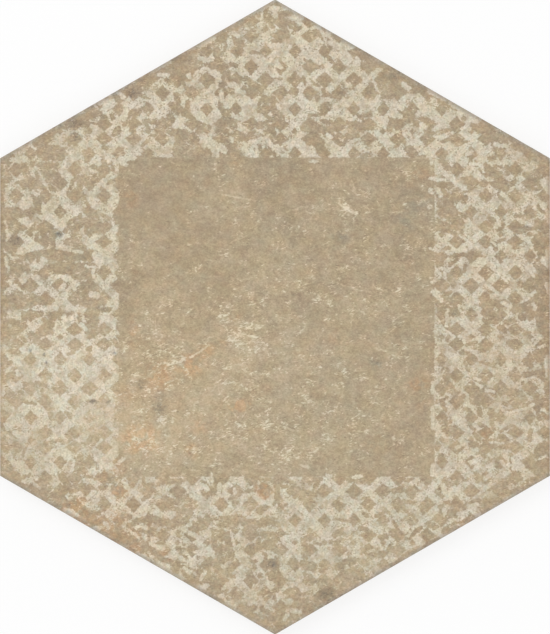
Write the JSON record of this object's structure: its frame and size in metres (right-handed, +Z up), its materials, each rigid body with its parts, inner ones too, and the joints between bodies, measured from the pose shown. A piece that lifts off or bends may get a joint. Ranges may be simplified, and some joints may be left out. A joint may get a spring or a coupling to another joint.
{
  "type": "hexagon floor tile",
  "caption": "Hexagonal stoneware floor tile with a rounded face arris, slightly drafted sides and a honeycomb of shallow mortar cells in its back.",
  "frame": {"origin": "middle of the back, on the plane the tile lies on", "axes": "+Z up through the thickness to the printed face, +Y to the corner at the top of the picture, +X to the middle of the side at its right"},
  "size_m": [0.24, 0.2772, 0.01],
  "materials": {
    "printed_stoneware": "matt fired stoneware in warm beige clay tones, its face printed with a worn off-white lattice of diamonds round a plain square"
  },
  "bodies": {
    "root": {"tile": "printed_stoneware"}
  },
  "joints": []
}
